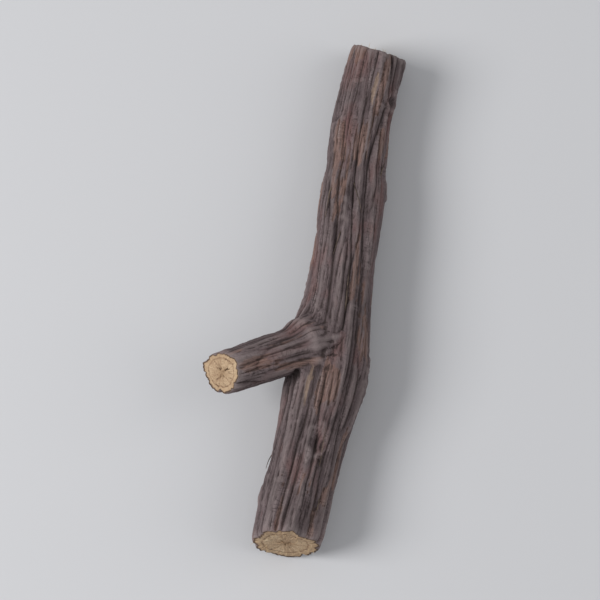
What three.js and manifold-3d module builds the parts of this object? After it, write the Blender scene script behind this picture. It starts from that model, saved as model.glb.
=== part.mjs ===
// A dried licorice root stick: one cut length of root with the stump of a side rootlet.
// It lies on its flatter side, as it would on a table. Millimetres, +Z up, +X along the stick
// from the thick cut end to the thin one. The origin is under the middle of its bounding box.
import * as THREE from "three";
import { mergeVertices } from "three/addons/utils/BufferGeometryUtils.js";
import Module from "manifold-3d";

// Driving dimensions of the stick
const stickLength = 66;
const halfWidths = [4.15, 4.25, 4.75, 4.3, 4.1, 3.9, 3.8]; // evenly spaced, thick end to thin end
const heightShare = 0.95; // the root is a little flatter than it is wide
const bow = [0.2, -0.5, -1.2, -0.85, -0.3, 0.15, -0.1]; // sideways place of the centre line
const arch = [0.5, 0.05, 0.3, 0.7, 0.4, 0, 0.5]; // lift of the underside: it bears on two places
const restDepth = 0.15; // how much of the round underside is worn flat there
const restCalm = 0.6; // how far the wrinkles are pressed smooth on the underside
const restHalfAngle = 0.5; // radians to either side of straight down that this reaches

// Each cut end: slopes of the knife cut in height and in width, and how far in the ring tilt fades
const thickCut = { slopeZ: 0.24, slopeY: -0.08 };
const thinCut = { slopeZ: -0.3, slopeY: 0.14 };
const cutFade = 9;
const rimChamfer = 0.22;
const faceSink = 0.16; // the wood dries a little below the bark's rim

// Bark relief: rounded ridges with narrow furrows that wander, split and join, and slower bulges
const stickWrinkles = {
  pairs: 7, // waves round the stick, each with two ridges and two furrows
  evenness: 0.4,
  wander: 2.2, // radians of a wave that it strays to either side
  breakup: 0.95,
  cells: 2.8, // noise cells on the radius
  length: 14, // millimetres a furrow runs before it changes
  twist: 0.5 / stickLength, // radians that it turns per millimetre
  height: 0.66,
  seed: 1,
};
const rootletWrinkles = {
  pairs: 4,
  evenness: 0.35,
  wander: 1.8,
  breakup: 0.9,
  cells: 1.9,
  length: 8,
  twist: 0.04,
  height: 0.5,
  seed: 5,
};
const furrowSharpness = 0.6; // 1 is a plain V, less is a narrower cleft with rounder ridges
const meanWrinkle = 0.55; // so that the wrinkles neither thicken nor thin the root
const bulge = { height: 0.42, cells: 0.9, length: 12, seed: 9 };

// Rootlet scars: place along the stick, angle round it from +Y towards +Z, radius and rim height,
// and the height of the dead rootlet's nub where one is left
const scars = [
  { at: 10, angle: 78, radius: 1.15, rim: 0.24, nub: 0.5 },
  { at: -20.5, angle: 104, radius: 1.4, rim: 0.3, nub: 0 },
  { at: 21, angle: 34, radius: 1.0, rim: 0.22, nub: 0.5 },
  { at: 2, angle: -28, radius: 1.2, rim: 0.28, nub: 0 },
  { at: -27, angle: 12, radius: 1.1, rim: 0.24, nub: 0.6 },
  { at: 26, angle: 148, radius: 1.15, rim: 0.28, nub: 0 },
  { at: -11, angle: 186, radius: 1.4, rim: 0.3, nub: 0.7 },
  { at: 15, angle: 205, radius: 1.1, rim: 0.24, nub: 0 },
];
const scarShape = {
  stretch: 1.3, // longer along the stick than across it
  wobble: 0.3,
  wobbleSize: 0.9,
  wobbleSeed: 13,
  rimSharpness: 5,
  pitDepth: 1.2,
  pitSharpness: 3,
};
const constriction = { at: 16.5, width: 1.6, depth: 0.26 }; // a growth ring drawn in

// Side rootlet, cut off short
const rootlet = {
  at: -6.4,
  angle: 29,
  lean: -0.58, // how far it leans back along the stick, per unit outwards
  length: 15.8, // from the stick's centre line to the cut
  bend: 1.6, // how far its tip droops off a straight line
  baseRadius: 2.85,
  tipRadius: 2.7,
  flare: 1.1, // how far it widens where it leaves the bark
  flareStart: 4.5,
  flareLength: 1.3,
  cutSlope: 0.42,
  faceSink: 0.1,
  collarHeight: 1.15,
  collarRadius: 4.4,
  collarSharpness: 2.5,
};

// Mesh density
const stickSides = 68;
const stickRings = 66;
const rootletSides = 30;
const rootletRings = 15;
const faceRings = [0.94, 0.66, 0.3]; // shares of the radius, on the cut ends
const finest = 0.02; // detail smaller than this is smoothed away

const clamp = (value, low, high) => Math.min(high, Math.max(low, value));
const smoothStep = (share) => share * share * (3 - 2 * share);
const radians = (degrees) => (degrees * Math.PI) / 180;

// A smooth curve through evenly spaced values; share runs from 0 to 1.
function along(values, share) {
  const place = clamp(share, 0, 1) * (values.length - 1);
  const first = Math.min(Math.floor(place), values.length - 2);
  const t = place - first;
  const pick = (index) => values[clamp(index, 0, values.length - 1)];
  const [a, b, c, d] = [pick(first - 1), pick(first), pick(first + 1), pick(first + 2)];
  return b + 0.5 * t * (c - a + t * (2 * a - 5 * b + 4 * c - d + t * (3 * (b - c) + d - a)));
}

// Smooth noise from -1 to 1 on a lattice of repeatable random numbers.
function lattice(i, j, k, seed) {
  const wave = Math.sin(i * 127.1 + j * 311.7 + k * 74.7 + seed * 53.3) * 43758.5453;
  return wave - Math.floor(wave);
}

function noise(x, y, z, seed) {
  const [i, j, k] = [Math.floor(x), Math.floor(y), Math.floor(z)];
  const [u, v, w] = [smoothStep(x - i), smoothStep(y - j), smoothStep(z - k)];
  let sum = 0;
  for (let corner = 0; corner < 8; corner += 1) {
    const [di, dj, dk] = [corner & 1, (corner >> 1) & 1, corner >> 2];
    const weight = (di ? u : 1 - u) * (dj ? v : 1 - v) * (dk ? w : 1 - w);
    sum += weight * lattice(i + di, j + dj, k + dk, seed);
  }
  return 2 * sum - 1;
}

// Difference of two angles, from -pi to pi.
const angleGap = (a, b) => Math.atan2(Math.sin(a - b), Math.cos(a - b));

// Noise on a round length: closed round the angle, and smooth along the distance.
function roundNoise(angle, distance, cells, length, seed) {
  return noise(Math.cos(angle) * cells, Math.sin(angle) * cells, distance / length, seed);
}

// Height of the lengthwise wrinkles over the mean skin, lowest along the furrows.
function wrinkleRelief(angle, distance, pattern) {
  const { cells, length, seed } = pattern;
  const turned = angle + pattern.twist * distance;
  const phase = pattern.wander * roundNoise(turned, distance, 1, length, seed);
  const breaks = pattern.breakup * roundNoise(turned, distance, cells, length, seed + 1);
  const wave = pattern.evenness * Math.sin(pattern.pairs * turned + phase) + breaks;
  return pattern.height * (Math.abs(wave) ** furrowSharpness - meanWrinkle);
}

// Height of the bark over the plain section, at a place along the stick and an angle round it.
function barkRelief(x, angle) {
  const calm = restCalm * Math.exp(-((angleGap(angle, -Math.PI / 2) / restHalfAngle) ** 2));
  let height = wrinkleRelief(angle, x, stickWrinkles) * (1 - calm);
  height += bulge.height * roundNoise(angle, x, bulge.cells, bulge.length, bulge.seed);
  height -= constriction.depth * Math.exp(-(((x - constriction.at) / constriction.width) ** 2));

  const radius = along(halfWidths, x / stickLength + 0.5);
  for (const scar of scars) {
    const across = radius * angleGap(angle, radians(scar.angle));
    const { stretch, wobble, wobbleSize, wobbleSeed } = scarShape;
    const uneven = 1 + wobble * noise(x / wobbleSize, across / wobbleSize, scar.at, wobbleSeed);
    const reach = (Math.hypot((x - scar.at) / stretch, across) / scar.radius) * uneven;
    const rim = Math.exp(-((reach - 1) ** 2) * scarShape.rimSharpness);
    const pit = Math.exp(-(reach ** 2) * scarShape.pitSharpness);
    height += scar.rim * (rim - scarShape.pitDepth * pit) + scar.nub * pit;
  }
  const collarAcross = radius * angleGap(angle, radians(rootlet.angle));
  const collarReach = Math.hypot(x - rootlet.at, collarAcross) / rootlet.collarRadius;
  height += rootlet.collarHeight * Math.exp(-(collarReach ** 2) * rootlet.collarSharpness);
  return height;
}

// Centre of the stick's section at x.
function centreLine(x) {
  const share = x / stickLength + 0.5;
  const halfHeight = along(halfWidths, share) * heightShare;
  return new THREE.Vector3(x, along(bow, share), halfHeight - restDepth + along(arch, share));
}

// A point of the stick's skin; inward is 1 on the bark and falls to 0 on the centre line.
function stickPoint(x, angle, inward = 1) {
  const centre = centreLine(x);
  const reach = (along(halfWidths, x / stickLength + 0.5) + barkRelief(x, angle)) * inward;
  const point = centre.clone();
  point.y += Math.cos(angle) * reach;
  point.z += Math.sin(angle) * reach * heightShare;
  const half = stickLength / 2;
  const cut = x < 0 ? thickCut : thinCut;
  const fade = smoothStep(clamp(1 - (half - Math.abs(x)) / cutFade, 0, 1));
  point.x += fade * (cut.slopeZ * (point.z - centre.z) + cut.slopeY * (point.y - centre.y));
  return point;
}

// A closed tube from rings of points, each end closed by its middle point.
function closedTube(rings, startMiddle, endMiddle) {
  const sides = rings[0].length;
  const points = [startMiddle, ...rings.flat(), endMiddle];
  const last = points.length - 1;
  const indices = [];
  for (let side = 0; side < sides; side += 1) {
    const next = (side + 1) % sides;
    indices.push(0, 1 + next, 1 + side);
    for (let ring = 0; ring < rings.length - 1; ring += 1) {
      const a = 1 + ring * sides + side;
      const b = 1 + ring * sides + next;
      indices.push(a, b, b + sides, a, b + sides, a + sides);
    }
    indices.push(last, last - sides + side, last - sides + next);
  }
  const geometry = new THREE.BufferGeometry().setFromPoints(points);
  geometry.setIndex(indices);
  return geometry;
}

// The stick: face rings of the thick end, bark rings along the length, face rings of the thin end.
function stickGeometry() {
  const half = stickLength / 2;
  const angles = Array.from({ length: stickSides }, (_, side) => (2 * Math.PI * side) / stickSides);
  const faceOf = (x, outward) =>
    faceRings.map((share) =>
      angles.map((angle) => {
        const sink = faceSink * smoothStep(1 - share);
        return stickPoint(x, angle, share).add(new THREE.Vector3(-outward * sink, 0, 0));
      }),
    );
  const bark = [];
  for (let ring = 0; ring <= stickRings; ring += 1) {
    const x = -half + (stickLength * ring) / stickRings;
    const atEnd = ring === 0 || ring === stickRings;
    const inset = atEnd ? 1 - rimChamfer / along(halfWidths, x / stickLength + 0.5) : 1;
    bark.push(angles.map((angle) => stickPoint(x, angle, inset)));
  }
  const thickFace = faceOf(-half, -1).reverse();
  const thinFace = faceOf(half, 1);
  const thickMiddle = centreLine(-half).add(new THREE.Vector3(faceSink, 0, 0));
  const thinMiddle = centreLine(half).add(new THREE.Vector3(-faceSink, 0, 0));
  return closedTube([...thickFace, ...bark, ...thinFace], thickMiddle, thinMiddle);
}

// The rootlet's stump: a tapered, wrinkled tube whose root is sunk into the stick.
function rootletGeometry() {
  const base = centreLine(rootlet.at);
  const outward = radians(rootlet.angle);
  const direction = new THREE.Vector3(rootlet.lean, Math.cos(outward), Math.sin(outward)).normalize();
  const rising = new THREE.Vector3(1, 0, 0).cross(direction).normalize();
  const forward = direction.clone().cross(rising);
  const ringAt = (distance, share) => {
    const t = distance / rootlet.length;
    const beyond = Math.max(0, distance - rootlet.flareStart) / rootlet.flareLength;
    const radius =
      THREE.MathUtils.lerp(rootlet.baseRadius, rootlet.tipRadius, t) +
      rootlet.flare * Math.exp(-(beyond ** 2));
    return Array.from({ length: rootletSides }, (_, side) => {
      const angle = (2 * Math.PI * side) / rootletSides;
      const [c, s] = [Math.cos(angle), Math.sin(angle)];
      const reach = (radius + wrinkleRelief(angle, distance, rootletWrinkles)) * share;
      return base
        .clone()
        .addScaledVector(direction, distance - rootlet.cutSlope * t * t * c * reach)
        .addScaledVector(rising, c * reach - rootlet.bend * t * t)
        .addScaledVector(forward, s * reach);
    });
  };
  const rings = [];
  for (let ring = 0; ring < rootletRings; ring += 1) {
    rings.push(ringAt((rootlet.length * ring) / rootletRings, 1));
  }
  rings.push(ringAt(rootlet.length, 1 - rimChamfer / rootlet.tipRadius));
  rings.push(ringAt(rootlet.length - rootlet.faceSink / 2, 0.5));
  const tip = base.clone().addScaledVector(direction, rootlet.length - rootlet.faceSink);
  tip.addScaledVector(rising, -rootlet.bend);
  return closedTube(rings, base, tip);
}

const wasm = await Module();
wasm.setup();

function solidFrom(geometry) {
  const merged = mergeVertices(geometry, 1e-4);
  return new wasm.Manifold(
    new wasm.Mesh({
      numProp: 3,
      vertProperties: merged.attributes.position.array,
      triVerts: new Uint32Array(merged.index.array),
    }),
  );
}

// What lies below z = 0 is cut away, which leaves the flat spots that the stick bears on.
const belowDepth = 20;
const below = new THREE.BoxGeometry(2 * stickLength, stickLength, belowDepth);
below.deleteAttribute("normal");
below.deleteAttribute("uv");
below.translate(0, 0, -belowDepth / 2);

const joined = solidFrom(stickGeometry()).add(solidFrom(rootletGeometry()));
const cut = joined.subtract(solidFrom(below)).simplify(finest).getMesh();
const geometry = new THREE.BufferGeometry();
geometry.setAttribute("position", new THREE.BufferAttribute(cut.vertProperties, cut.numProp));
geometry.setIndex(new THREE.BufferAttribute(cut.triVerts, 1));
geometry.computeVertexNormals();

// Centre the stick over the origin, standing on z = 0.
geometry.computeBoundingBox();
const middle = geometry.boundingBox.getCenter(new THREE.Vector3());
geometry.translate(-middle.x, -middle.y, -geometry.boundingBox.min.z);

const bark = new THREE.MeshStandardMaterial({ color: 0x5b4e49, roughness: 0.86, metalness: 0 });
const root = new THREE.Mesh(geometry, bark);
root.name = "licorice_root";

const part = new THREE.Group();
part.add(root);

export default part;
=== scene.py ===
import math
import random

import bmesh
import bpy
import numpy as np
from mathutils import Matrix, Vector


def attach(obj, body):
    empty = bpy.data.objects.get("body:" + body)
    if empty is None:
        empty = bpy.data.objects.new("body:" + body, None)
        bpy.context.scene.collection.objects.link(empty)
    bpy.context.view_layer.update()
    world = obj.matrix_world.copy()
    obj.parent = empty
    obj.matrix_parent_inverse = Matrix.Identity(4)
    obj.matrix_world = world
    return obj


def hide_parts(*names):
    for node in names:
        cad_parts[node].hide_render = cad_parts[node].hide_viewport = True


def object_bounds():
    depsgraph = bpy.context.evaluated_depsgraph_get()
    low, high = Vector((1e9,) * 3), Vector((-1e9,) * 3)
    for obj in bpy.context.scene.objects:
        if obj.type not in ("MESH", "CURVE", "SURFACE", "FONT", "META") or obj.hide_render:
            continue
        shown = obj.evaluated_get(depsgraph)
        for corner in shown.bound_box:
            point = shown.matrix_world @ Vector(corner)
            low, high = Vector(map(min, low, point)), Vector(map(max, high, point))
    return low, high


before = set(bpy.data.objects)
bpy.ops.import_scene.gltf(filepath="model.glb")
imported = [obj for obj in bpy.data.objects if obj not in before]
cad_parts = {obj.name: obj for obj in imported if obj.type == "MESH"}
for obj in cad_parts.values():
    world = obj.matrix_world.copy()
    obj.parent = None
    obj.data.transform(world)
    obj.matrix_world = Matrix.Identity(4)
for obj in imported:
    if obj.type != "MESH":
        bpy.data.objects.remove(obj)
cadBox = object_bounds()

millimetre = 0.001
weldDistance = 1e-7  # metres

# The stick's main form, in millimetres. It is the same form as the CAD solid's.
stick = {
    "length": 66,
    "halfWidths": [4.15, 4.25, 4.75, 4.3, 4.1, 3.9, 3.8],  # evenly spaced, thick end to thin end
    "heightShare": 0.95,  # a little flatter than it is wide
    "bow": [0.2, -0.5, -1.2, -0.85, -0.3, 0.15, -0.1],
    "arch": [0.5, 0.05, 0.3, 0.7, 0.4, 0, 0.5],  # lift of the underside, which bears on two places
    "restDepth": 0.15,
    "restCalm": 0.6,  # the wrinkles are pressed smooth on the underside
    "restHalfAngle": 0.5,
    "thickCut": {"slopeZ": 0.24, "slopeY": -0.08},
    "thinCut": {"slopeZ": -0.3, "slopeY": 0.14},
    "cutFade": 9,
    "rimChamfer": 0.22,
    "rimCells": 8,  # how finely the wear changes round the rim
    "faceSink": 0.16,
    "faceSeed": 1,
    "fineSeed": 41,
    "wrinkles": {"pairs": 7, "evenness": 0.4, "wander": 2.2, "breakup": 0.95, "cells": 2.8,
                 "length": 14, "twist": 0.5 / 66, "height": 0.66, "seed": 1},
    "bulge": {"height": 0.42, "cells": 0.9, "length": 12, "seed": 9},
    "constriction": {"at": 16.5, "width": 1.6, "depth": 0.26},
    "scars": [  # where rootlets came away: place, angle, radius, rim height and the nub left
        {"at": 10, "angle": 78, "radius": 1.15, "rim": 0.24, "nub": 0.5},
        {"at": -20.5, "angle": 104, "radius": 1.4, "rim": 0.3, "nub": 0},
        {"at": 21, "angle": 34, "radius": 1.0, "rim": 0.22, "nub": 0.5},
        {"at": 2, "angle": -28, "radius": 1.2, "rim": 0.28, "nub": 0},
        {"at": -27, "angle": 12, "radius": 1.1, "rim": 0.24, "nub": 0.6},
        {"at": 26, "angle": 148, "radius": 1.15, "rim": 0.28, "nub": 0},
        {"at": -11, "angle": 186, "radius": 1.4, "rim": 0.3, "nub": 0.7},
        {"at": 15, "angle": 205, "radius": 1.1, "rim": 0.24, "nub": 0},
    ],
    "sides": 208,
    "rings": 360,
    "faceRings": 18,
}

# The side rootlet's form, in millimetres, again as the CAD solid's
rootlet = {
    "at": -6.4,
    "angle": 29,
    "lean": -0.58,
    "length": 15.8,
    "bend": 1.6,
    "baseRadius": 2.85,
    "tipRadius": 2.7,
    "flare": 1.1,  # it widens where it leaves the bark
    "flareStart": 4.5,
    "flareLength": 1.3,
    "cutSlope": 0.42,
    "rimCells": 5,
    "faceSink": 0.1,
    "faceSeed": 2,
    "fineSeed": 71,
    "barkBegins": 0.25,  # it is the rootlet's bark from this height over the stick's
    "barkReach": 0.6,
    "overrun": 1.05,  # a share of the length, as its slanted cut reaches a little past the end
    "collarHeight": 1.15,
    "collarRadius": 4.4,
    "collarSharpness": 2.5,
    "wrinkles": {"pairs": 4, "evenness": 0.35, "wander": 1.8, "breakup": 0.9, "cells": 1.9,
                 "length": 8, "twist": 0.04, "height": 0.5, "seed": 5},
    "creaseWidth": 0.75,  # where it meets the stick the crease is smoothed, then wrinkled again
    "creaseRounds": 20,
    "blendRounds": 8,
    "creaseWrinkles": {"pairs": 8, "evenness": 0.3, "wander": 2.4, "breakup": 1.0, "cells": 3,
                       "length": 1.6, "twist": 0.1, "height": 0.24, "seed": 91},
    "creaseSeed": 93,
    "sides": 112,
    "rings": 88,
    "faceRings": 9,
}

furrowSharpness = 0.6
meanWrinkle = 0.55
faceSpacing = 0.8  # below 1, the rings of a cut face crowd towards its rim
relaxStep = 0.6
hollowRounds = {"fine": 5, "broad": 40}
searchRounds = 5  # each round brings a point's place along its curved form closer
rootletOffset = 100  # keeps the rootlet's colour patterns apart from the stick's
scarShape = {"stretch": 1.3, "wobble": 0.3, "wobbleSize": 0.9, "wobbleSeed": 13,
             "rimSharpness": 5, "pitDepth": 1.2, "pitSharpness": 3}

# The bark's fine relief, in millimetres
bark = {
    "wrinkles": [  # second and third sets of lengthwise wrinkles, each finer
        {"pairs": 15, "evenness": 0.3, "wander": 2.6, "breakup": 1.0, "cells": 5.5,
         "length": 7.5, "twist": 0.5 / 66, "height": 0.27, "seed": 21},
        {"pairs": 31, "evenness": 0.25, "wander": 3, "breakup": 1.0, "cells": 11,
         "length": 3.5, "twist": 0.5 / 66, "height": 0.15, "seed": 24},
    ],
    "atHalfWidth": 4.5,  # the half width that those heights are for
    "flakeDepth": 0.1,  # patches where the outer cork has come away
    "flakeLayers": [(1.5, 6.5, 1), (0.3, 3, 0.3), (0.45, 0.6, 0.1)],  # size across, size along, weight
    "flakeEdge": [0.36, 0.44],
    "flakeSeed": 4,
    "grainHeight": 0.035,
    "grainSize": [0.5, 0.33],  # along the root and across it
    "grainSeed": 6,
    "collarRings": {"height": 0.22, "size": 0.45, "cells": 2.5, "at": 3.6, "width": 1.4, "seed": 83},
    "rimWear": {"least": 0.6, "more": 0.8, "reach": 0.3, "seed": 51},
    "lenticels": {"count": 46, "spread": 0.47, "halfAcross": [0.35, 0.75], "flatness": [0.4, 0.6],
                  "height": 0.13, "rise": [0.6, 1], "slitWidth": 0.08, "slitEnds": [0.9, 0.5],
                  "slitDepth": 0.8, "seed": 7},
    "scrapeDepth": 0.12,
    "scrapes": [  # ridges rubbed through to the wood: place, angle, half length and half width
        {"at": -15, "angle": 66, "length": 2.6, "width": 0.26},
        {"at": 27, "angle": 100, "length": 2.0, "width": 0.24},
        {"at": 13, "angle": -12, "length": 2.8, "width": 0.4},
        {"at": -24, "angle": 200, "length": 2.6, "width": 0.4},
    ],
    "scrapeLayers": [(14, 2.2, 0.9, 31), (24, 0.7, 0.5, 33)],  # ragged edges: cells, length, weight, seed
    "scrapeEdge": [1.1, 0.85],
}

# The cut wood's fine relief, in millimetres
cutWood = {
    "rays": {"height": 0.022, "cells": 13, "length": 0.5, "start": [0.1, 0.3]},
    "ring": {"share": 0.7, "width": 0.03, "depth": 0.045},  # the cambium ring, as shares of the radius
    "ringEvenness": 0.6,  # how little the ring follows the bark's wrinkles
    "barkGap": {"share": 0.93, "width": 0.02, "depth": 0.06},  # where the bark begins
    "blade": {"turn": 0.7, "width": 0.35, "height": 0.03},  # marks of the blade
    "grain": {"size": 0.3, "height": 0.05},
    "cracks": {  # shrinkage cracks that run out from the middle
        "count": 5, "spread": 0.45, "length": [0.2, 0.7], "widest": [0.0, 0.15], "fade": 0.7,
        "width": 0.07, "leastWidth": 0.01, "depth": 0.5, "middle": [0.0, 0.1], "bend": 0.25, "bends": 4},
    "chips": {"depth": 0.3, "cells": 5, "start": 0.1, "reach": 0.5, "seed": 61},  # the brittle rim
    "rimBlend": 0.04,
    "seed": 3,
}


def smoothStep(share):
    return share * share * (3 - 2 * share)


def step(low, high, value):
    return smoothStep(np.clip((value - low) / (high - low), 0, 1))


def along(values, share):
    # a smooth curve through evenly spaced values
    values = np.asarray(values, float)
    last = len(values) - 1
    place = np.clip(share, 0, 1) * last
    first = np.minimum(np.floor(place), last - 1).astype(int)
    t = place - first
    a, b, c, d = (values[np.clip(first + offset, 0, last)] for offset in (-1, 0, 1, 2))
    return b + 0.5 * t * (c - a + t * (2 * a - 5 * b + 4 * c - d + t * (3 * (b - c) + d - a)))


cellFactors = (127.1, 311.7, 74.7, 53.3)  # unrelated numbers, so that neighbouring cells come out unlike
cellSpread = 43758.5453


def lattice(i, j, k, seed):
    # a repeatable value from 0 to 1 for each cell
    a, b, c, d = cellFactors
    wave = np.sin(i * a + j * b + k * c + seed * d) * cellSpread
    return wave - np.floor(wave)


def noise(x, y, z, seed):
    # smooth noise from -1 to 1, repeatable
    i, j, k = np.floor(x), np.floor(y), np.floor(z)
    u, v, w = smoothStep(x - i), smoothStep(y - j), smoothStep(z - k)
    total = 0
    for corner in range(8):
        di, dj, dk = corner & 1, (corner >> 1) & 1, corner >> 2
        weight = (u if di else 1 - u) * (v if dj else 1 - v) * (w if dk else 1 - w)
        total = total + weight * lattice(i + di, j + dj, k + dk, seed)
    return 2 * total - 1


def roundNoise(angle, distance, cells, length, seed):
    return noise(np.cos(angle) * cells, np.sin(angle) * cells, distance / length, seed)


def angleGap(a, b):
    return np.arctan2(np.sin(a - b), np.cos(a - b))


def wrinkleRelief(angle, distance, pattern):
    # lengthwise ridges with narrow furrows that wander, split and join
    cells, length, seed = pattern["cells"], pattern["length"], pattern["seed"]
    turned = angle + pattern["twist"] * distance
    phase = pattern["wander"] * roundNoise(turned, distance, 1, length, seed)
    breaks = pattern["breakup"] * roundNoise(turned, distance, cells, length, seed + 1)
    wave = pattern["evenness"] * np.sin(pattern["pairs"] * turned + phase) + breaks
    return pattern["height"] * (np.abs(wave) ** furrowSharpness - meanWrinkle)


def halfWidth(x):
    return along(stick["halfWidths"], x / stick["length"] + 0.5)


def mainRelief(x, angle):
    # the bark's relief that the CAD solid has too
    calm = stick["restCalm"] * np.exp(-(angleGap(angle, -math.pi / 2) / stick["restHalfAngle"]) ** 2)
    height = wrinkleRelief(angle, x, stick["wrinkles"]) * (1 - calm)
    bulge, waist = stick["bulge"], stick["constriction"]
    height += bulge["height"] * roundNoise(angle, x, bulge["cells"], bulge["length"], bulge["seed"])
    height -= waist["depth"] * np.exp(-((x - waist["at"]) / waist["width"]) ** 2)

    radius = halfWidth(x)
    for scar in stick["scars"]:
        across = radius * angleGap(angle, math.radians(scar["angle"]))
        size, seed = scarShape["wobbleSize"], scarShape["wobbleSeed"]
        uneven = 1 + scarShape["wobble"] * noise(x / size, across / size, 0 * x + scar["at"], seed)
        reach = np.hypot((x - scar["at"]) / scarShape["stretch"], across) / scar["radius"] * uneven
        rim = np.exp(-(reach - 1) ** 2 * scarShape["rimSharpness"])
        pit = np.exp(-reach ** 2 * scarShape["pitSharpness"])
        height += scar["rim"] * (rim - scarShape["pitDepth"] * pit) + scar["nub"] * pit
    collarAcross = radius * angleGap(angle, math.radians(rootlet["angle"]))
    collarReach = np.hypot(x - rootlet["at"], collarAcross) / rootlet["collarRadius"]
    height += rootlet["collarHeight"] * np.exp(-collarReach ** 2 * rootlet["collarSharpness"])
    return height


def flakeMask(angle, distance, radius, seed):
    # 1 where the outer cork has come away, in long patches with splintered ends and ragged edges
    aside, up = np.cos(angle) * radius, np.sin(angle) * radius
    level = 0
    for index, (across, length, weight) in enumerate(bark["flakeLayers"]):
        layer = noise(aside / across, up / across, distance / length, seed + bark["flakeSeed"] + index)
        level = level + weight * layer
    return step(*bark["flakeEdge"], level)


def scrapeMask(x, angle):
    # 1 where a ridge is rubbed through to the wood
    ragged = 0
    for cells, length, weight, seed in bark["scrapeLayers"]:
        ragged = ragged + weight * roundNoise(angle, x, cells, length, seed)
    mask = np.zeros_like(x)
    radius = halfWidth(x)
    for scrape in bark["scrapes"]:
        across = radius * angleGap(angle, math.radians(scrape["angle"]))
        reach = np.hypot((x - scrape["at"]) / scrape["length"], across / scrape["width"])
        mask = np.maximum(mask, step(*bark["scrapeEdge"], reach + ragged))
    return mask


def fineRelief(angle, distance, radius, seed):
    # finer wrinkles, flaked cork and grain, for the stick and the rootlet alike
    wrinkles = sum(wrinkleRelief(angle, distance, pattern) for pattern in bark["wrinkles"])
    alongRoot, across = bark["grainSize"]
    aside, up = np.cos(angle) * radius / across, np.sin(angle) * radius / across
    grain = bark["grainHeight"] * noise(aside, up, distance / alongRoot, seed + bark["grainSeed"])
    flakes = bark["flakeDepth"] * flakeMask(angle, distance, radius, seed)
    return wrinkles * np.sqrt(radius / bark["atHalfWidth"]) + grain - flakes


def collarWrinkles(x, angle):
    # the bark is crumpled in rings round the rootlet's base
    rings = bark["collarRings"]
    across = halfWidth(x) * angleGap(angle, math.radians(rootlet["angle"]))
    reach, bearing = np.hypot(x - rootlet["at"], across), np.arctan2(across, x - rootlet["at"])
    turned, turnedBack = np.cos(bearing) * rings["cells"], np.sin(bearing) * rings["cells"]
    wave = noise(reach / rings["size"], turned, turnedBack, rings["seed"])
    return rings["height"] * wave * np.exp(-((reach - rings["at"]) / rings["width"]) ** 2)


def rimWear(angle, toRim, cells):
    # the cut wears the bark's edge away a little, more in some places
    wear = bark["rimWear"]
    ragged = wear["least"] + wear["more"] * np.abs(roundNoise(angle, toRim * 0, cells, 1, wear["seed"]))
    return stick["rimChamfer"] * ragged * np.exp(-np.maximum(toRim, 0) / wear["reach"])


def lenticelRelief(x, angle):
    # small raised pores that lie across the stick, each with a slit
    pore = bark["lenticels"]
    chance = random.Random(pore["seed"])
    height = np.zeros_like(x)
    radius = halfWidth(x)
    for _ in range(pore["count"]):
        at = chance.uniform(-pore["spread"], pore["spread"]) * stick["length"]
        turn = chance.uniform(-math.pi, math.pi)
        halfAcross = chance.uniform(*pore["halfAcross"])
        halfAlong = halfAcross * chance.uniform(*pore["flatness"])
        rise = pore["height"] * chance.uniform(*pore["rise"])
        near = np.abs(x - at) < 3 * halfAlong
        across = radius[near] * angleGap(angle[near], turn) / halfAcross
        reach = np.hypot((x[near] - at) / halfAlong, across)
        slit = np.exp(-((x[near] - at) / pore["slitWidth"]) ** 2) * step(*pore["slitEnds"], np.abs(across))
        height[near] += rise * (np.exp(-reach ** 4) - pore["slitDepth"] * slit)
    return height


def coreShare(reach, share, radius):
    # how far out a point of the wood lies, less wrinkled than the bark round it
    return cutWood["ringEvenness"] * reach / radius + (1 - cutWood["ringEvenness"]) * share


def faceRelief(angle, share, reach, radius, seed):
    # height of a cut face along the root: rays, cambium ring, blade marks, grain and cracks
    rays, ring, gap = cutWood["rays"], cutWood["ring"], cutWood["barkGap"]
    height = rays["height"] * roundNoise(angle, share, rays["cells"], rays["length"], seed)
    height *= step(*rays["start"], share)
    core = coreShare(reach, share, radius)
    height -= ring["depth"] * np.exp(-((core - ring["share"]) / ring["width"]) ** 2)
    height -= gap["depth"] * np.exp(-((share - gap["share"]) / gap["width"]) ** 2)
    blade, grain = cutWood["blade"], cutWood["grain"]
    stroke = share * radius * np.cos(angle - blade["turn"]) / blade["width"]
    height += blade["height"] * noise(stroke, stroke * 0, stroke * 0, seed + 1)
    height += grain["height"] * roundNoise(angle, share * 0, share * radius / grain["size"], 1, seed + 2)
    return height - crackDepths(angle, share, radius, seed)


def crackDepths(angle, share, radius, seed):
    # shrinkage cracks, each widest near the middle and closing outwards
    cracks = cutWood["cracks"]
    chance = random.Random(cutWood["seed"] + seed)
    depth = 0
    for index in range(cracks["count"]):
        turn = 2 * math.pi * (index + chance.uniform(-cracks["spread"], cracks["spread"])) / cracks["count"]
        length = chance.uniform(*cracks["length"])
        widest = chance.uniform(*cracks["widest"])
        bent = turn + cracks["bend"] * noise(share * cracks["bends"], share * 0 + index, share * 0, seed + 3)
        across = share * radius * np.sin(angleGap(angle, bent))
        ahead = np.cos(angleGap(angle, bent)) > 0
        width = cracks["width"] * step(length, widest, share) + cracks["leastWidth"]
        crack = np.exp(-(across / width) ** 2) * ahead * step(length, length * cracks["fade"], share)
        depth = depth + cracks["depth"] * crack * step(*cracks["middle"], share)
    return depth


def centreLine(x):
    share = x / stick["length"] + 0.5
    z = halfWidth(x) * stick["heightShare"] - stick["restDepth"] + along(stick["arch"], share)
    return np.stack([x, along(stick["bow"], share), z], axis=-1)


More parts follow.
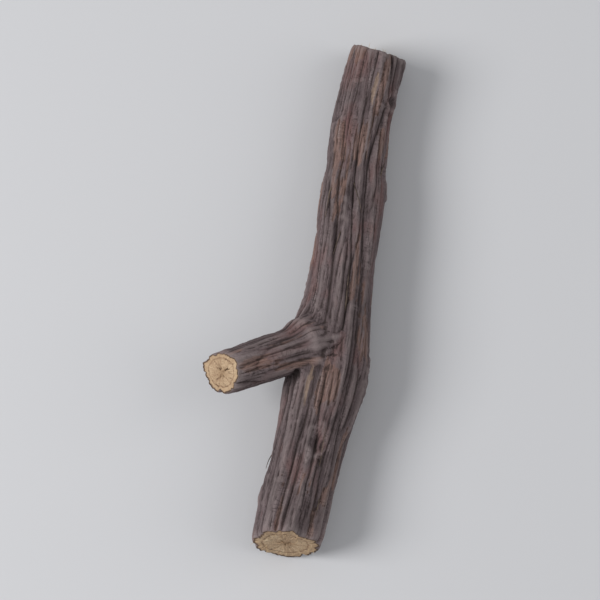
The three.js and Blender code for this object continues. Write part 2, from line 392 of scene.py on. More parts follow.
def endTilt(x, up, aside):
    # how far the slanted cut of the nearer end carries a point along the stick
    fade = smoothStep(np.clip(1 - (stick["length"] / 2 - np.abs(x)) / stick["cutFade"], 0, 1))
    slopeZ = np.where(x < 0, stick["thickCut"]["slopeZ"], stick["thinCut"]["slopeZ"])
    slopeY = np.where(x < 0, stick["thickCut"]["slopeY"], stick["thinCut"]["slopeY"])
    return fade * (slopeZ * up + slopeY * aside)


def profile(row, rings, faceRings):
    # rows of a rolled grid: from the middle of one face over the bark to the middle of the other
    share = np.ones_like(row)
    before = row < faceRings
    after = row > faceRings + rings
    share[before] = (row[before] / faceRings) ** faceSpacing
    share[after] = ((2 * faceRings + rings - row[after]) / faceRings) ** faceSpacing
    distance = np.clip((row - faceRings) / rings, 0, 1)
    return distance, share, before | after


def stickReach(x, angle):
    # from the stick's middle line to its bark, with all its relief
    fine = fineRelief(angle, x, halfWidth(x), stick["fineSeed"])
    fine += lenticelRelief(x, angle)
    fine += collarWrinkles(x, angle)
    worn = rimWear(angle, stick["length"] / 2 - np.abs(x), stick["rimCells"])
    worn += bark["scrapeDepth"] * scrapeMask(x, angle)
    return halfWidth(x) + mainRelief(x, angle) + fine - worn


def stickSkin(row, angle):
    distance, share, onFace = profile(row, stick["rings"], stick["faceRings"])
    x = (distance - 0.5) * stick["length"]
    reach = stickReach(x, angle) * share
    aside, up = np.cos(angle) * reach, np.sin(angle) * reach * stick["heightShare"]

    outward = np.sign(x)
    sunk = faceRelief(angle, share, reach, halfWidth(x), stick["faceSeed"])
    sunk -= stick["faceSink"] * smoothStep(1 - share)
    fromRim = np.where(onFace, (1 - share) * halfWidth(x), stick["length"] / 2 - np.abs(x))
    chips = cutWood["chips"]
    chipped = np.maximum(0, roundNoise(angle, outward, chips["cells"], 1, chips["seed"]) - chips["start"])
    shift = np.where(onFace, sunk * step(0, cutWood["rimBlend"], 1 - share), 0)
    shift -= chips["depth"] * chipped * np.exp(-fromRim / chips["reach"])
    point = centreLine(x)
    point[:, 0] += endTilt(x, up, aside) + outward * shift
    point[:, 1] += aside
    point[:, 2] = np.maximum(point[:, 2] + up, 0)
    return point


def rootletAxes():
    # where the rootlet starts, where it points, and its two directions across
    base = centreLine(np.array([float(rootlet["at"])]))[0]
    outward = math.radians(rootlet["angle"])
    direction = Vector((rootlet["lean"], math.cos(outward), math.sin(outward))).normalized()
    rising = Vector((1, 0, 0)).cross(direction).normalized()
    return base, np.array(direction), np.array(rising), np.array(direction.cross(rising))


def rootletReach(distance, angle):
    # the rootlet's bark as the CAD solid has it
    t = distance / rootlet["length"]
    radius = rootlet["baseRadius"] * (1 - t) + rootlet["tipRadius"] * t
    beyond = np.maximum(0, distance - rootlet["flareStart"]) / rootlet["flareLength"]
    radius += rootlet["flare"] * np.exp(-beyond ** 2)
    return radius + wrinkleRelief(angle, distance, rootlet["wrinkles"])


def rootletBark(distance, angle):
    # from the rootlet's middle line to its bark, with all its relief
    fine = fineRelief(angle, distance, rootlet["tipRadius"], rootlet["fineSeed"])
    worn = rimWear(angle, rootlet["length"] - distance, rootlet["rimCells"])
    return rootletReach(distance, angle) + fine - worn


def rootletSkin(row, angle):
    t, share, onFace = profile(row, rootlet["rings"], rootlet["faceRings"])
    distance = t * rootlet["length"]
    reach = rootletBark(distance, angle) * share
    sunk = faceRelief(angle, share, reach, rootlet["tipRadius"], rootlet["faceSeed"])
    sunk -= rootlet["faceSink"] * smoothStep(1 - share)
    shift = np.where(onFace & (t > 0.5), sunk * step(0, cutWood["rimBlend"], 1 - share), 0)
    base, direction, rising, forward = rootletAxes()
    high, ahead = np.cos(angle) * reach, np.sin(angle) * reach
    outwards = np.outer(distance - rootlet["cutSlope"] * t * t * high + shift, direction)
    return base + outwards + np.outer(high - rootlet["bend"] * t * t, rising) + np.outer(ahead, forward)


def addRolledGrid(mesh, rings, faceRings, sides, skin):
    # a grid rolled into a closed tube: skin gives each point its place from its row and angle
    rows = rings + 2 * faceRings
    points = bmesh.ops.create_grid(mesh, x_segments=rows, y_segments=sides, size=0.5)["verts"]
    flat = np.array([vertex.co for vertex in points])
    row = np.round((flat[:, 0] + 0.5) * rows)
    angle = (np.round((flat[:, 1] + 0.5) * sides) % sides) * 2 * math.pi / sides
    for face in {face for vertex in points for face in vertex.link_faces}:
        middle = (face.calc_center_median().x + 0.5) * rows
        face.material_index = int(middle < faceRings or middle > faceRings + rings)
    for vertex, place in zip(points, skin(row, angle) * millimetre):
        vertex.co = place
    bmesh.ops.remove_doubles(mesh, verts=points, dist=weldDistance)


def pieceFrom(mesh, name):
    bmesh.ops.recalc_face_normals(mesh, faces=mesh.faces)
    made = bpy.data.meshes.new(name)
    mesh.to_mesh(made)
    mesh.free()
    piece = bpy.data.objects.new(name, made)
    bpy.context.collection.objects.link(piece)
    return piece


def rolledPiece(name, form, skin):
    mesh = bmesh.new()
    addRolledGrid(mesh, form["rings"], form["faceRings"], form["sides"], skin)
    return pieceFrom(mesh, name)


def cleanSeam(joined):
    # takes out points that only two faces share, then cuts the seam's many-sided faces into triangles
    mesh = bmesh.new()
    mesh.from_mesh(joined)
    between = [vertex for vertex in mesh.verts if len(vertex.link_edges) == 2]
    between = [vertex for vertex in between if min(len(face.verts) for face in vertex.link_faces) > 3]
    bmesh.ops.dissolve_verts(mesh, verts=between)
    bmesh.ops.triangulate(mesh, faces=[face for face in mesh.faces if len(face.verts) > 4])
    mesh.to_mesh(joined)
    mesh.free()


def joinedBySurface(piece, other):
    # one closed skin from two that cross
    union = piece.modifiers.new("union", "BOOLEAN")
    union.operation = "UNION"
    union.solver = "MANIFOLD"
    union.object = other
    finished = piece.evaluated_get(bpy.context.evaluated_depsgraph_get())
    joined = bpy.data.meshes.new_from_object(finished)
    cleanSeam(joined)
    piece.modifiers.clear()
    bpy.data.objects.remove(other)
    piece.data = joined
    return joined


def readPoints(mesh):
    flat = np.empty(len(mesh.vertices) * 3)
    mesh.vertices.foreach_get("co", flat)
    return flat.reshape(-1, 3)


def movedNormals(mesh, points):
    # gives the mesh its points, in millimetres, and reads its normals
    mesh.vertices.foreach_set("co", (points * millimetre).ravel())
    mesh.update()
    flat = np.empty(len(mesh.vertices) * 3)
    mesh.vertices.foreach_get("normal", flat)
    return flat.reshape(-1, 3)


def readEdges(mesh):
    flat = np.empty(len(mesh.edges) * 2, int)
    mesh.edges.foreach_get("vertices", flat)
    return flat.reshape(-1, 2)


def neighbourMean(values, edges):
    # the mean of each point's neighbours
    count = np.bincount(edges.ravel(), minlength=len(values))
    total = np.zeros_like(values)
    for column in range(values.shape[1]):
        total[:, column] += np.bincount(edges[:, 0], values[edges[:, 1], column], len(values))
        total[:, column] += np.bincount(edges[:, 1], values[edges[:, 0], column], len(values))
    return total / np.maximum(count, 1)[:, None]


def relaxed(values, edges, rounds, weight=1.0):
    for _ in range(rounds):
        values = values + weight * relaxStep * (neighbourMean(values, edges) - values)
    return values


def stickCoordinates(points):
    # where each point lies on the stick: place along it, angle round it and distance from its middle
    half = stick["length"] / 2
    x = np.clip(points[:, 0], -half, half)
    for _ in range(searchRounds):
        centre = centreLine(x)
        tilt = endTilt(x, points[:, 2] - centre[:, 2], points[:, 1] - centre[:, 1])
        x = np.clip(points[:, 0] - tilt, -half, half)
    centre = centreLine(x)
    aside, up = points[:, 1] - centre[:, 1], (points[:, 2] - centre[:, 2]) / stick["heightShare"]
    return x, np.arctan2(up, aside), np.hypot(up, aside)


def rootletCoordinates(points):
    # where each point lies on the rootlet: distance from its base, angle round it and from its middle
    base, direction, rising, forward = rootletAxes()
    high = (points - base) @ rising
    ahead = (points - base) @ forward
    distance = (points - base) @ direction
    for _ in range(searchRounds):
        t = np.clip(distance / rootlet["length"], 0, rootlet["overrun"])
        lifted = high + rootlet["bend"] * t * t
        distance = (points - base) @ direction + rootlet["cutSlope"] * t * t * lifted
    return distance, np.arctan2(ahead, lifted), np.hypot(ahead, lifted)


def storeAttribute(mesh, name, kind, values):
    field = "vector" if kind == "FLOAT_VECTOR" else "value"
    layer = mesh.attributes.new(name, kind, "POINT")
    layer.data.foreach_set(field, np.ascontiguousarray(values, dtype=np.float32).ravel())


def straightened(distance, angle, radius):
    # in millimetres: along the root, then round it as if it were straight and smooth
    return np.stack([distance, np.cos(angle) * radius, np.sin(angle) * radius], axis=-1)


def makeRootStick():
    trunk = rolledPiece("rootStick", stick, stickSkin)
    branch = rolledPiece("sideRootlet", rootlet, rootletSkin)
    for material in (barkMaterial(), woodMaterial()):
        trunk.data.materials.append(material)
        branch.data.materials.append(material)
    mesh = joinedBySurface(trunk, branch)
    points, edges = readPoints(mesh) / millimetre, readEdges(mesh)

    x, angle, reach = stickCoordinates(points)
    distance, turn, branchReach = rootletCoordinates(points)
    onLength = np.clip(distance, 0, rootlet["length"])
    overStick = reach - halfWidth(x) - mainRelief(x, angle)
    overBranch = branchReach - rootletReach(onLength, turn)
    onBranch = (overStick > rootlet["barkBegins"]) & (distance > 0) & (overBranch < rootlet["barkReach"])

    # smooth the crease where the rootlet leaves the stick, and wrinkle the bark there again
    near = np.hypot(overBranch, np.maximum(overStick, 0)) / rootlet["creaseWidth"]
    crease = np.exp(-near ** 2) * (distance > rootlet["flareStart"] / 2)
    points = relaxed(points, edges, rootlet["creaseRounds"], crease[:, None])
    crumple = wrinkleRelief(turn, distance, rootlet["creaseWrinkles"])
    crumple += fineRelief(turn, distance, rootlet["baseRadius"], rootlet["creaseSeed"])
    points += (crease ** 0.5 * crumple)[:, None] * movedNormals(mesh, points)

    # how deep each point lies below the skin round it, fine and broad
    normals = movedNormals(mesh, points)
    smooth = relaxed(points, edges, hollowRounds["fine"])
    smoother = relaxed(smooth, edges, hollowRounds["broad"])
    fine = ((smooth - points) * normals).sum(1)
    broad = ((smoother - points) * normals).sum(1)

    # straightened places on the bark, and how much of the rootlet's bark is blended in
    stickPlace = straightened(x, angle, halfWidth(x))
    rootletPlace = straightened(distance + rootletOffset, turn, rootlet["tipRadius"])
    onRootlet = relaxed(onBranch[:, None].astype(float), edges, rootlet["blendRounds"])[:, 0]
    branchFlake = flakeMask(turn, distance, rootlet["tipRadius"], rootlet["fineSeed"])
    stickFlake = flakeMask(angle, x, halfWidth(x), stick["fineSeed"])
    flake = stickFlake + (branchFlake - stickFlake) * onRootlet

    # places on the cut wood, as shares of the way out to the bark
    radius = np.where(onBranch, rootlet["tipRadius"], halfWidth(x))
    bearing = np.where(onBranch, turn, angle)
    share = np.where(onBranch, branchReach / rootletBark(onLength, turn), reach / stickReach(x, angle))
    woodPlace = np.stack([share, np.cos(bearing) * share, np.sin(bearing) * share], axis=-1)
    core = coreShare(np.where(onBranch, branchReach, reach), share, radius)

    storeAttribute(mesh, "stickPlace", "FLOAT_VECTOR", stickPlace)
    storeAttribute(mesh, "rootletPlace", "FLOAT_VECTOR", rootletPlace)
    storeAttribute(mesh, "onRootlet", "FLOAT", onRootlet)
    storeAttribute(mesh, "woodPlace", "FLOAT_VECTOR", woodPlace)
    storeAttribute(mesh, "coreShare", "FLOAT", core)
    storeAttribute(mesh, "fineHollow", "FLOAT", fine)
    storeAttribute(mesh, "broadHollow", "FLOAT", broad)
    storeAttribute(mesh, "flaked", "FLOAT", flake)
    storeAttribute(mesh, "scraped", "FLOAT", scrapeMask(x, angle) * (1 - onRootlet))
    mesh.shade_smooth()
    return trunk


def centred(piece):
    # the stick's middle goes over the origin, as in the CAD
    points = readPoints(piece.data)
    middle = Vector((points.min(0) + points.max(0)) / 2)
    shift = (cadBox[0] + cadBox[1]) / 2 - middle
    shift.z = 0
    return shift


def colour(code):
    # an sRGB hex value as linear colour
    parts = [int(code[start:start + 2], 16) / 255 for start in (1, 3, 5)]
    return [part / 12.92 if part <= 0.04045 else ((part + 0.055) / 1.055) ** 2.4 for part in parts] + [1.0]


def addNode(tree, kind, values={}, links={}, stops=(), **settings):
    # one node with its settings, its sockets' values, its links and, on a ramp, its stops in order
    made = tree.nodes.new(kind)
    for name, value in settings.items():
        setattr(made, name, value)
    for socket, value in values.items():
        made.inputs[socket].default_value = value
    for socket, source in links.items():
        tree.links.new(source, made.inputs[socket])
    for index, (place, code) in enumerate(stops):
        ramp = made.color_ramp.elements
        stop = ramp[index] if index < 2 else ramp.new(place)
        stop.position = place
        stop.color = colour(code)
    return made


def newMaterial(name):
    material = bpy.data.materials.new(name)
    material.use_nodes = True
    material.node_tree.nodes.clear()
    return material, material.node_tree


def weighedSum(tree, source, weights):
    # the named sources, each times its weight, added up
    total = None
    for name, weight in weights.items():
        links = {0: source[name], 2: total} if total else {0: source[name]}
        total = addNode(tree, "ShaderNodeMath", {1: weight, 2: 0}, links, operation="MULTIPLY_ADD").outputs[0]
    return total


def laidOver(tree, base, source, layers):
    # lays one colour after another over the base, each where the source that it follows says
    for layer in layers:
        start, full = layer.get("range", (0, 1))
        amount = addNode(tree, "ShaderNodeMapRange", {1: start, 2: full, 3: 0, 4: layer["most"]},
                         {0: source[layer["follows"]]}).outputs[0]
        if "times" in layer:
            amount = addNode(tree, "ShaderNodeMath", {}, {0: amount, 1: source[layer["times"]]},
                             operation="MULTIPLY").outputs[0]
        values, links = {}, {0: amount, 6: base}
        if "stops" in layer:
            links[7] = addNode(tree, "ShaderNodeValToRGB", {}, {"Fac": source[layer["tone"]]},
                               layer["stops"]).outputs["Color"]
        else:
            values[7] = colour(layer["colour"])
        base = addNode(tree, "ShaderNodeMix", values, links, data_type="RGBA").outputs[2]
    return base


# The bark's look. A pattern has its size in millimetres along the root and across it, detail and roughness.
barkLook = {
    "patterns": {
        "streaks": (7, 0.7, 5, 0.6),
        "fibres": (1.8, 0.13, 4, 0.65),
        "patches": (9, 4, 3, 0.55),
        "grains": (0.28, 0.22, 3, 0.7),
        "creases": (3.4, 0.32, 3, 0.6),
        "crossing": (0.75, 3.4, 2, 0.5),
    },
    "crackWidth": (0.03, 0.008),  # fine cracks run across the root where this pattern is near its middle
    "crackDryness": (0.5, 0.62),
    "tone": {"streaks": 0.55, "patches": 0.45},
    "stops": [(0.36, "#413638"), (0.46, "#584B4C"), (0.55, "#695B5C"), (0.66, "#827575")],
    "layers": [
        {"follows": "patches", "range": (0.53, 0.66), "most": 0.7, "colour": "#654340"},  # reddish cork
        {"follows": "grains", "range": (0.5, 0.72), "most": 0.45, "colour": "#342828"},
        {"follows": "flaked", "most": 0.65, "tone": "fibres",
         "stops": [(0.35, "#654940"), (0.65, "#927569")]},  # browner bark under the cork
        {"follows": "creases", "range": (0.47, 0.34), "most": 0.55, "colour": "#302727"},
        {"follows": "broadHollow", "range": (-0.02, -0.2), "most": 0.9, "times": "fibres",
         "colour": "#918482"},  # rubbed ridges
        {"follows": "broadHollow", "range": (0.03, 0.3), "most": 0.7, "colour": "#2B2223"},  # painted shade in the furrows
        # painted shade in the fine hollows
        {"follows": "fineHollow", "range": (0.004, 0.03), "most": 0.6, "colour": "#2A201B"},
        {"follows": "cracks", "most": 0.3, "colour": "#241C19"},
        {"follows": "scraped", "most": 1, "tone": "fibres", "stops": [(0.3, "#6E5A4C"), (0.7, "#99867A")]},
    ],
    "relief": {"fibres": 0.5, "grains": 0.35, "creases": 0.8, "cracks": -0.3},
    "bump": {"Strength": 0.9, "Distance": 0.22 * millimetre},
    "roughness": {1: 0.35, 2: 0.7, 3: 0.72, 4: 0.92},  # from and to on the grains, then the roughness there
    "shine": {"IOR": 1.45, "Specular IOR Level": 0.35},
}


def barkNoise(tree, name):
    # one noise laid along the stick and along the rootlet, blended where they meet
    alongRoot, across, detail, roughness = barkLook["patterns"][name]
    scale = (1 / alongRoot, 1 / across, 1 / across)
    settings = {"Scale": 1, "Detail": detail, "Roughness": roughness}
    laid = []
    for surface in ("stickPlace", "rootletPlace"):
        place = addNode(tree, "ShaderNodeAttribute", attribute_name=surface).outputs["Vector"]
        place = addNode(tree, "ShaderNodeVectorMath", {1: scale}, {0: place}, operation="MULTIPLY").outputs[0]
        laid.append(addNode(tree, "ShaderNodeTexNoise", settings, {"Vector": place}).outputs["Fac"])
    blend = addNode(tree, "ShaderNodeAttribute", attribute_name="onRootlet").outputs["Fac"]
    return addNode(tree, "ShaderNodeMix", {}, {0: blend, 2: laid[0], 3: laid[1]}).outputs[0]


def barkMaterial():
    # dried root bark: thin matt cork with painted shade darkening its furrows and fine hollows, grey where
    # ridges are rubbed
    material, tree = newMaterial("driedRootBark")
    source = {name: barkNoise(tree, name) for name in barkLook["patterns"]}
    for name in ("fineHollow", "broadHollow", "flaked", "scraped"):
        source[name] = addNode(tree, "ShaderNodeAttribute", attribute_name=name).outputs["Fac"]

    wide, narrow = barkLook["crackWidth"]
    moist, dry = barkLook["crackDryness"]
    crossing, streaks = source["crossing"], source["streaks"]
    middle = addNode(tree, "ShaderNodeMath", {1: 0.5}, {0: crossing}, operation="SUBTRACT").outputs[0]
    middle = addNode(tree, "ShaderNodeMath", {}, {0: middle}, operation="ABSOLUTE").outputs[0]
    line = addNode(tree, "ShaderNodeMapRange", {1: wide, 2: narrow, 3: 0, 4: 1}, {0: middle}).outputs[0]
    where = addNode(tree, "ShaderNodeMapRange", {1: moist, 2: dry, 3: 0, 4: 1}, {0: streaks}).outputs[0]
    cracks = addNode(tree, "ShaderNodeMath", {}, {0: line, 1: where}, operation="MULTIPLY")
    source["cracks"] = cracks.outputs[0]

    tone = weighedSum(tree, source, barkLook["tone"])
    base = addNode(tree, "ShaderNodeValToRGB", {}, {"Fac": tone}, barkLook["stops"]).outputs["Color"]
    base = laidOver(tree, base, source, barkLook["layers"])
    height = weighedSum(tree, source, barkLook["relief"])
    bump = addNode(tree, "ShaderNodeBump", barkLook["bump"], {"Height": height}).outputs[0]
    rough = addNode(tree, "ShaderNodeMapRange", barkLook["roughness"], {0: source["grains"]}).outputs[0]
    shader = addNode(tree, "ShaderNodeBsdfPrincipled", barkLook["shine"],
                     {"Base Color": base, "Roughness": rough, "Normal": bump})
    addNode(tree, "ShaderNodeOutputMaterial", {}, {"Surface": shader.outputs[0]})
    return material


# The cut wood's look. The scale of a fine pattern is a count per metre.
woodLook = {
    "rays": {"Scale": 1, "Detail": 4, "Roughness": 0.6},
    "rayCells": (15, 15, 15),  # about six rays for each of these round the face
    "ends": {"Scale": 5200, "Detail": 3, "Roughness": 0.7},  # cut fibre ends, 0.2 mm apart
    "clouds": {"Scale": 420, "Detail": 3, "Roughness": 0.5},  # 2.4 mm patches
    "vessels": {"Scale": 4900},  # open pores, 0.2 mm apart
    "vesselRange": {1: 0.34, 2: 0.14, 3: 0, 4: 0.6},
    "vesselReach": {1: 0.72, 2: 0.66, 3: 0.1, 4: 1},  # few of them beyond the cambium ring
    "raggedness": 0.09,
    "ringShare": 0.745,  # the relief's ring, moved out by half the raggedness
    "tone": {"rays": 0.5, "clouds": 0.3, "ends": 0.2},
    "stops": [(0.34, "#8D7158"), (0.46, "#AA8F73"), (0.56, "#BDA486"), (0.66, "#CFBC9E")],
    "layers": [
        {"follows": "core", "range": (0.34, 0.05), "most": 0.5, "colour": "#8A6C4F"},  # darker in the middle
        {"follows": "fromRing", "range": (0.045, 0.01), "most": 0.6, "colour": "#80634A"},
        {"follows": "border", "range": (0.76, 0.86), "most": 0.5, "colour": "#AB9072"},
        {"follows": "edge", "range": (0.95, 0.99), "most": 0.92, "tone": "ends",
         "stops": [(0.35, "#3A2D27"), (0.65, "#604C3E")]},  # the bark's thin dark edge
        {"follows": "pores", "most": 1, "colour": "#6E5038"},
        {"follows": "fineHollow", "range": (0.01, 0.05), "most": 0.85, "colour": "#4B2F1B"},  # painted shade in the cracks and other fine hollows
    ],
    "relief": {"ends": 0.6, "rays": 0.3, "pores": -0.6},
    "bump": {"Strength": 0.8, "Distance": 0.14 * millimetre},
    "shine": {"IOR": 1.45, "Roughness": 0.82, "Specular IOR Level": 0.3},
}


def woodMaterial():
    # cut licorice wood: yellow, fibrous, with rays, a cambium ring, a thin dark edge of bark and painted
    # shade in its cracks
    material, tree = newMaterial("cutLicoriceWood")
    place = addNode(tree, "ShaderNodeAttribute", attribute_name="woodPlace").outputs["Vector"]
    spot = addNode(tree, "ShaderNodeTexCoord").outputs["Object"]
    share, across, up = addNode(tree, "ShaderNodeSeparateXYZ", {}, {0: place}).outputs
    flat = addNode(tree, "ShaderNodeCombineXYZ", {}, {0: across, 1: up}).outputs[0]
    direction = addNode(tree, "ShaderNodeVectorMath", {}, {0: flat}, operation="NORMALIZE").outputs[0]
    outward = addNode(tree, "ShaderNodeCombineXYZ", {}, {2: share}).outputs[0]
    rayPlace = addNode(tree, "ShaderNodeVectorMath", {1: woodLook["rayCells"]}, {0: direction, 2: outward},
                       operation="MULTIPLY_ADD").outputs[0]

    source = {"share": share}
    source["core"] = addNode(tree, "ShaderNodeAttribute", attribute_name="coreShare").outputs["Fac"]
    source["fineHollow"] = addNode(tree, "ShaderNodeAttribute", attribute_name="fineHollow").outputs["Fac"]
    for name, where in {"rays": rayPlace, "ends": spot, "clouds": spot}.items():
        source[name] = addNode(tree, "ShaderNodeTexNoise", woodLook[name], {"Vector": where}).outputs["Fac"]
    source["edge"] = weighedSum(tree, source, {"share": 1, "clouds": woodLook["raggedness"]})
    source["border"] = weighedSum(tree, source, {"core": 1, "clouds": woodLook["raggedness"]})
    ring = addNode(tree, "ShaderNodeMath", {1: woodLook["ringShare"]}, {0: source["border"]},
                   operation="SUBTRACT").outputs[0]
    source["fromRing"] = addNode(tree, "ShaderNodeMath", {}, {0: ring}, operation="ABSOLUTE").outputs[0]
    vessels = addNode(tree, "ShaderNodeTexVoronoi", woodLook["vessels"], {"Vector": spot}).outputs["Distance"]
    vessels = addNode(tree, "ShaderNodeMapRange", woodLook["vesselRange"], {0: vessels}).outputs[0]
    inside = addNode(tree, "ShaderNodeMapRange", woodLook["vesselReach"], {0: source["core"]}).outputs[0]
    pores = addNode(tree, "ShaderNodeMath", {}, {0: vessels, 1: inside}, operation="MULTIPLY")
    source["pores"] = pores.outputs[0]

    tone = weighedSum(tree, source, woodLook["tone"])
    base = addNode(tree, "ShaderNodeValToRGB", {}, {"Fac": tone}, woodLook["stops"]).outputs["Color"]
    base = laidOver(tree, base, source, woodLook["layers"])
    height = weighedSum(tree, source, woodLook["relief"])
    bump = addNode(tree, "ShaderNodeBump", woodLook["bump"], {"Height": height}).outputs[0]
    shader = addNode(tree, "ShaderNodeBsdfPrincipled", woodLook["shine"],
                     {"Base Color": base, "Normal": bump})
    addNode(tree, "ShaderNodeOutputMaterial", {}, {"Surface": shader.outputs[0]})
    return material


def backdropMaterial():
    # matt uncoated paper, on which only the shadow shows
    material, tree = newMaterial("paleStudioPaper")
    shader = addNode(tree, "ShaderNodeBsdfPrincipled", {"Base Color": colour("#C9C9CB"), "Roughness": 0.9})
    addNode(tree, "ShaderNodeOutputMaterial", {}, {"Surface": shader.outputs[0]})
    return material


# Thin dead rootlets that cling to the bark, and fibres that the cut has pulled out, in millimetres
strands = {
    "hairs": 9,
    "hairPlaces": [-0.42, 0.38],  # shares of the length
    "hairAngles": [-0.6, math.pi + 0.6],
    "hairLength": [2.5, 6.5],
    "hairDrift": [-0.12, 0.12],
    "hairRise": [0.0, 0.12],
    "hairRadius": 0.12,
    "hairThickness": [0.6, 1.2],
    "hairRooted": -0.4,  # it starts this far under the bark
    "hairGap": 0.1,  # and then runs this far over it
    "hairRings": 14,
    "hairSides": 7,
    "fibresPerFace": 18,
    "fibreShare": [0.45, 0.9],  # shares of the way out to the bark
    "fibreRooted": 0.35,
    "fibreLength": [0.15, 0.6],
    "fibreLean": [-0.5, 0.5],
    "fibreCurl": [-0.25, 0.25],
    "fibreRadius": 0.04,
    "fibreThickness": [0.7, 1.3],
    "fibreRings": 5,
    "fibreSides": 5,
    "taper": 0.75,
    "lowest": 0.15,  # no hair dips below this height
    "seed": 11,
}


def strandSkin(path, radius, rings):
    # a tapering thread along a path of a few points
    path = np.array(path)
    alongside = (0.13, 0.31, 0.94)  # no thread runs this way
    reach = 0.02  # a share of the path, to either side, that gives its direction

    def onPath(t):
        return np.stack([along(path[:, column], t) for column in range(3)], axis=-1)

    def skin(row, angle):
        t = np.clip(row - 1, 0, rings) / rings
        share = ((row > 0) & (row < rings + 2)).astype(float)
        tangent = onPath(t + reach) - onPath(t - reach)
        tangent /= np.linalg.norm(tangent, axis=1)[:, None]
        side = np.cross(tangent, alongside)
        side /= np.linalg.norm(side, axis=1)[:, None]
        up = np.cross(tangent, side)
        thick = (radius * (1 - strands["taper"] * t) * share)[:, None]
        return onPath(t) + thick * (np.cos(angle)[:, None] * side + np.sin(angle)[:, None] * up)

    return skin


def barkPoint(x, angle, lift):
    # a point over the bark, lift millimetres out from it
    x, angle = np.array([float(x)]), np.array([float(angle)])
    reach = halfWidth(x) + mainRelief(x, angle) + lift
    aside, up = np.cos(angle) * reach, np.sin(angle) * reach * stick["heightShare"]
    point = centreLine(x)[0]
    height = max(point[2] + up[0], strands["lowest"])
    return [point[0] + endTilt(x, up, aside)[0], point[1] + aside[0], height]


def makeHairs():
    chance = random.Random(strands["seed"])
    mesh = bmesh.new()
    rings = strands["hairRings"]
    for _ in range(strands["hairs"]):
        x = chance.uniform(*strands["hairPlaces"]) * stick["length"]
        angle = chance.uniform(*strands["hairAngles"])
        length = chance.uniform(*strands["hairLength"]) * chance.choice([-1, 1])
        drift = chance.uniform(*strands["hairDrift"])
        rise = chance.uniform(*strands["hairRise"])
        path = [barkPoint(x, angle, strands["hairRooted"])]
        for t in (0.25, 0.5, 0.75, 1):
            lift = strands["hairGap"] + rise * t ** 3
            path.append(barkPoint(x + length * t, angle + drift * length * t, lift))
        radius = strands["hairRadius"] * chance.uniform(*strands["hairThickness"])
        addRolledGrid(mesh, rings, 1, strands["hairSides"], strandSkin(path, radius, rings))
    return pieceFrom(mesh, "rootHairs")


def makeFibres():
    chance = random.Random(strands["seed"] + 1)
    mesh = bmesh.new()
    rings, rooted = strands["fibreRings"], strands["fibreRooted"]
    for end in [-1] * strands["fibresPerFace"] + [1] * strands["fibresPerFace"]:
        turn = chance.uniform(-math.pi, math.pi)
        share = chance.uniform(*strands["fibreShare"])
        x = np.array([end * stick["length"] / 2])
        reach = (halfWidth(x) + mainRelief(x, np.array([turn])))[0] * share
        aside, up = math.cos(turn) * reach, math.sin(turn) * reach * stick["heightShare"]
        start = centreLine(x)[0] + [endTilt(x, up, aside)[0] - rooted * end, aside, up]
        length = chance.uniform(*strands["fibreLength"]) + rooted
        lean = np.array([end, chance.uniform(*strands["fibreLean"]), chance.uniform(*strands["fibreLean"])])
        curl = np.array([0, chance.uniform(*strands["fibreCurl"]), chance.uniform(*strands["fibreCurl"])])
        path = [start + lean * length * t + curl * t * t for t in (0, 0.5, 1)]
        radius = strands["fibreRadius"] * chance.uniform(*strands["fibreThickness"])
        addRolledGrid(mesh, rings, 1, strands["fibreSides"], strandSkin(path, radius, rings))
    return pieceFrom(mesh, "cutFibres")


def strandMaterial(name, dark, light, patternSize):
    # a thin dry thread, a little lighter in places
    material, tree = newMaterial(name)
    spot = addNode(tree, "ShaderNodeTexCoord").outputs["Object"]
    settings = {"Scale": 1 / (patternSize * millimetre), "Detail": 3}
    cloud = addNode(tree, "ShaderNodeTexNoise", settings, {"Vector": spot}).outputs["Fac"]
    tint = addNode(tree, "ShaderNodeValToRGB", {}, {"Fac": cloud}, [(0.35, dark), (0.65, light)])
    shine = {"IOR": 1.45, "Roughness": 0.85, "Specular IOR Level": 0.3}
    shader = addNode(tree, "ShaderNodeBsdfPrincipled", shine, {"Base Color": tint.outputs["Color"]})
    addNode(tree, "ShaderNodeOutputMaterial", {}, {"Surface": shader.outputs[0]})
    return material


def moveMesh(piece, shift):
    for vertex in piece.data.vertices:
        vertex.co += shift
    piece.data.update()


# The studio: a pale sheet, soft light from the left and a camera that looks down on the stick
studio = {
    "azimuth": -79.6,
    "elevation": 75,
    "lens": 135,
    "distance": 0.286,
    "aim": (-0.002, 0.0001, 0.004),
    "sheetSize": 1.5,
    "sheetDrop": 0.00002,  # just under the stick, so the two surfaces don't flicker
    "worldColour": (0.95, 0.97, 1.0, 1),
    "worldStrength": 0.42,
    "keyPower": 2.6,
    "keyPlace": (-0.12, 0.42, 0.34),
    "keySize": 0.3,
    "fillPower": 0.9,
    "fillPlace": (0.1, -0.5, 0.35),
    "fillSize": 0.5,
}


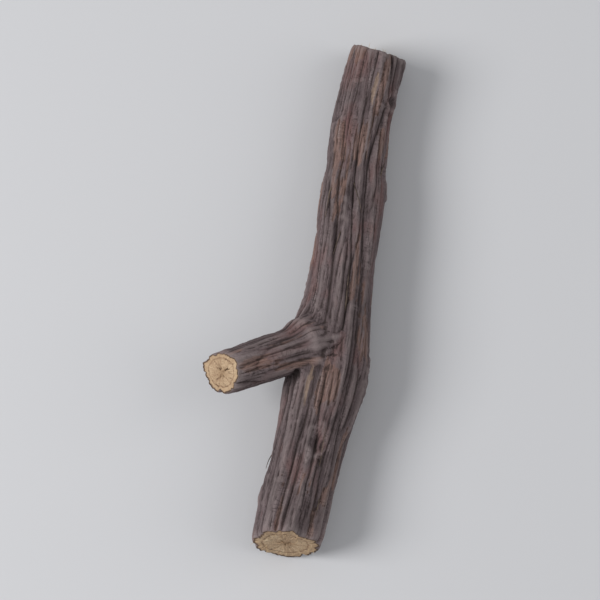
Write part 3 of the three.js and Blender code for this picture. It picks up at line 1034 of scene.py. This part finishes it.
def makeStudio():
    mesh = bmesh.new()
    bmesh.ops.create_grid(mesh, x_segments=1, y_segments=1, size=studio["sheetSize"])
    bmesh.ops.translate(mesh, vec=(0, 0, -studio["sheetDrop"]), verts=mesh.verts)
    sheet = pieceFrom(mesh, "paleSheet")
    sheet.data.materials.append(backdropMaterial())

    aim = Vector(studio["aim"])
    for name in ("key", "fill"):
        data = bpy.data.lights.new(name + "Light", "AREA")
        data.shape = "DISK"
        data.size = studio[name + "Size"]
        data.energy = studio[name + "Power"]
        lamp = bpy.data.objects.new(name + "Light", data)
        lamp.location = studio[name + "Place"]
        lamp.rotation_euler = (aim - lamp.location).to_track_quat("-Z", "Y").to_euler()
        bpy.context.collection.objects.link(lamp)

    world = bpy.data.worlds.new("softStudio")
    world.use_nodes = True
    sky = world.node_tree.nodes["Background"].inputs
    sky["Color"].default_value = studio["worldColour"]
    sky["Strength"].default_value = studio["worldStrength"]
    bpy.context.scene.world = world

    around, up = math.radians(studio["azimuth"]), math.radians(studio["elevation"])
    back = Vector((math.sin(around) * math.cos(up), -math.cos(around) * math.cos(up), math.sin(up)))
    camera = bpy.data.objects.new("camera", bpy.data.cameras.new("camera"))
    camera.data.lens = studio["lens"]
    camera.data.clip_start = 0.01
    camera.location = aim + back * studio["distance"]
    camera.rotation_euler = (-back).to_track_quat("-Z", "Y").to_euler()
    bpy.context.collection.objects.link(camera)
    bpy.context.scene.camera = camera
    bpy.context.scene.view_settings.view_transform = "Standard"


rootStick = makeRootStick()
shift = centred(rootStick)
print("stick:", len(rootStick.data.polygons), "faces")

rootHairs = makeHairs()
rootHairs.data.materials.append(strandMaterial("driedRootHair", "#3A302A", "#6B5C50", 0.8))
cutFibres = makeFibres()
cutFibres.data.materials.append(strandMaterial("bastFibre", "#A98C66", "#D3BD98", 0.5))
print("hairs and fibres:", len(rootHairs.data.polygons), len(cutFibres.data.polygons), "faces")

for piece in (rootStick, rootHairs, cutFibres):
    moveMesh(piece, shift)
    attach(piece, "root")
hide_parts("licorice_root")

makeStudio()
print("studio made")
